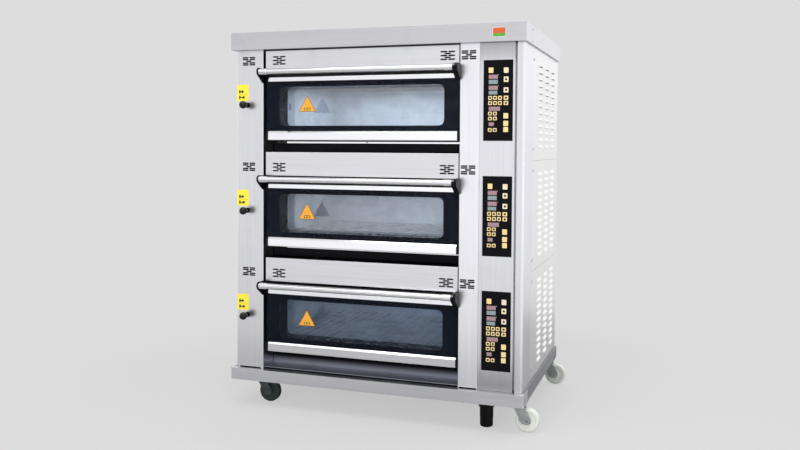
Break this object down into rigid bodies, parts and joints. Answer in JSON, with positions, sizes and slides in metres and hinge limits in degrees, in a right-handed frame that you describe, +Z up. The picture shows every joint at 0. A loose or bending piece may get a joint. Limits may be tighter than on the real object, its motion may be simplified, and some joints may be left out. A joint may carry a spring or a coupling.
{
  "type": "deck oven",
  "caption": "Free-standing electric bakery deck oven on casters: stacked baking chambers with drop-down glazed doors, bar handles, damper pulls and side control panels.",
  "frame": {"origin": "on the floor, under the middle of the whole oven", "axes": "+X to the viewer's right along the front, +Y from the front to the back, +Z up"},
  "size_m": [1.456, 0.97, 1.69],
  "materials": {
    "stainless": "fine vertical brushed stainless sheet",
    "side_sheet": "pale satin stainless sheet",
    "bright_trim": "polished stainless",
    "frame_steel": "mill finish stainless tube",
    "liner_steel": "heat-tinted aluminised steel",
    "hearth_steel": "oiled ridged steel plate",
    "heater_steel": "oxidised heater sheath",
    "mineral_wool": "fibrous wool slab",
    "black_enamel": "satin black enamel",
    "outer_glass": "tempered glass with a black border",
    "inner_glass": "clear heat-proof glass",
    "control_film": "black membrane keypad film",
    "black_plastic": "moulded black plastic",
    "knob_plastic": "glossy black phenolic",
    "nylon": "off-white cast nylon",
    "zinc_steel": "bright zinc plating",
    "lamp_glass": "domed clear lens",
    "rod_steel": "bright drawn rod",
    "yellow_label": "printed yellow label film",
    "orange_label": "printed orange label film",
    "key_print": "gold keypad print",
    "display_print": "tinted display window"
  },
  "bodies": {
    "cabinet": {"base_frame": "frame_steel", "base_floor": "frame_steel", "base_front_cover": "stainless", "recess_sill": "stainless", "top_fascia": "stainless", "top_cover": "stainless", "left_column": "stainless", "right_column": "stainless", "control_column": "stainless", "corner_post": "stainless", "header_panels": "stainless", "control_panels": "control_film", "side_panels": "side_sheet", "rear_panel": "side_sheet", "mains_gland": "black_plastic", "casing_screws": "zinc_steel", "hearth_plates": "hearth_steel", "heating_elements": "heater_steel", "chamber_lamps": "lamp_glass", "insulation": "mineral_wool", "door_hinge_pins": "zinc_steel", "damper_bushes": "black_plastic", "caster_plates": "zinc_steel", "foot_sleeve": "black_plastic", "lower_chamber_liner": "liner_steel", "middle_chamber_liner": "liner_steel", "upper_chamber_liner": "liner_steel"},
    "lower_door": {"lower_door_frame": "black_enamel", "lower_door_outer_glass": "outer_glass", "lower_door_inner_glass": "inner_glass", "lower_door_trims": "bright_trim", "lower_door_handle": "bright_trim", "lower_door_handle_brackets": "black_plastic"},
    "lower_damper": {"lower_damper_knob": "knob_plastic", "lower_damper_rod": "rod_steel"},
    "middle_door": {"middle_door_frame": "black_enamel", "middle_door_outer_glass": "outer_glass", "middle_door_inner_glass": "inner_glass", "middle_door_trims": "bright_trim", "middle_door_handle": "bright_trim", "middle_door_handle_brackets": "black_plastic"},
    "middle_damper": {"middle_damper_knob": "knob_plastic", "middle_damper_rod": "rod_steel"},
    "upper_door": {"upper_door_frame": "black_enamel", "upper_door_outer_glass": "outer_glass", "upper_door_inner_glass": "inner_glass", "upper_door_trims": "bright_trim", "upper_door_handle": "bright_trim", "upper_door_handle_brackets": "black_plastic"},
    "upper_damper": {"upper_damper_knob": "knob_plastic", "upper_damper_rod": "rod_steel"},
    "front_right_swivel": {"front_right_fork": "zinc_steel"},
    "front_right_wheel": {"front_right_wheel": "nylon"},
    "front_left_swivel": {"front_left_fork": "zinc_steel"},
    "front_left_wheel": {"front_left_wheel": "nylon"},
    "rear_right_swivel": {"rear_right_fork": "zinc_steel"},
    "rear_right_wheel": {"rear_right_wheel": "nylon"},
    "rear_left_swivel": {"rear_left_fork": "zinc_steel"},
    "rear_left_wheel": {"rear_left_wheel": "nylon"},
    "parking_foot": {"foot_insert": "black_plastic"}
  },
  "joints": [
    {"name": "lower_door_hinge", "type": "hinge", "parent": "cabinet", "child": "lower_door", "pos_m": [-0.0625, -0.36, 0.2695], "axis": [1, 0, 0], "range_deg": [0, 90]},
    {"name": "lower_damper_pull", "type": "slide", "parent": "cabinet", "child": "lower_damper", "axis": [0, -1, 0], "range_m": [0, 0.04]},
    {"name": "middle_door_hinge", "type": "hinge", "parent": "cabinet", "child": "middle_door", "pos_m": [-0.0625, -0.36, 0.7465], "axis": [1, 0, 0], "range_deg": [0, 90]},
    {"name": "middle_damper_pull", "type": "slide", "parent": "cabinet", "child": "middle_damper", "axis": [0, -1, 0], "range_m": [0, 0.04]},
    {"name": "upper_door_hinge", "type": "hinge", "parent": "cabinet", "child": "upper_door", "pos_m": [-0.0625, -0.36, 1.2235], "axis": [1, 0, 0], "range_deg": [0, 90]},
    {"name": "upper_damper_pull", "type": "slide", "parent": "cabinet", "child": "upper_damper", "axis": [0, -1, 0], "range_m": [0, 0.04]},
    {"name": "front_right_swivel_pin", "type": "hinge", "parent": "cabinet", "child": "front_right_swivel", "pos_m": [0.64, -0.365, 0.106], "axis": [0, 0, 1], "continuous": true},
    {"name": "front_right_axle", "type": "hinge", "parent": "front_right_swivel", "child": "front_right_wheel", "pos_m": [0.678, -0.365, 0.05], "axis": [0, 1, 0], "continuous": true},
    {"name": "front_left_swivel_pin", "type": "hinge", "parent": "cabinet", "child": "front_left_swivel", "pos_m": [-0.565, -0.335, 0.106], "axis": [0, 0, 1], "continuous": true},
    {"name": "front_left_axle", "type": "hinge", "parent": "front_left_swivel", "child": "front_left_wheel", "pos_m": [-0.527, -0.335, 0.05], "axis": [0, 1, 0], "continuous": true},
    {"name": "rear_right_swivel_pin", "type": "hinge", "parent": "cabinet", "child": "rear_right_swivel", "pos_m": [0.64, 0.405, 0.106], "axis": [0, 0, 1], "continuous": true},
    {"name": "rear_right_axle", "type": "hinge", "parent": "rear_right_swivel", "child": "rear_right_wheel", "pos_m": [0.678, 0.405, 0.05], "axis": [0, 1, 0], "continuous": true},
    {"name": "rear_left_swivel_pin", "type": "hinge", "parent": "cabinet", "child": "rear_left_swivel", "pos_m": [-0.64, 0.405, 0.106], "axis": [0, 0, 1], "continuous": true},
    {"name": "rear_left_axle", "type": "hinge", "parent": "rear_left_swivel", "child": "rear_left_wheel", "pos_m": [-0.678, 0.405, 0.05], "axis": [0, 1, 0], "continuous": true},
    {"name": "foot_screw", "type": "slide", "parent": "cabinet", "child": "parking_foot", "axis": [0, 0, -1], "range_m": [-0.01, 0.015]}
  ]
}
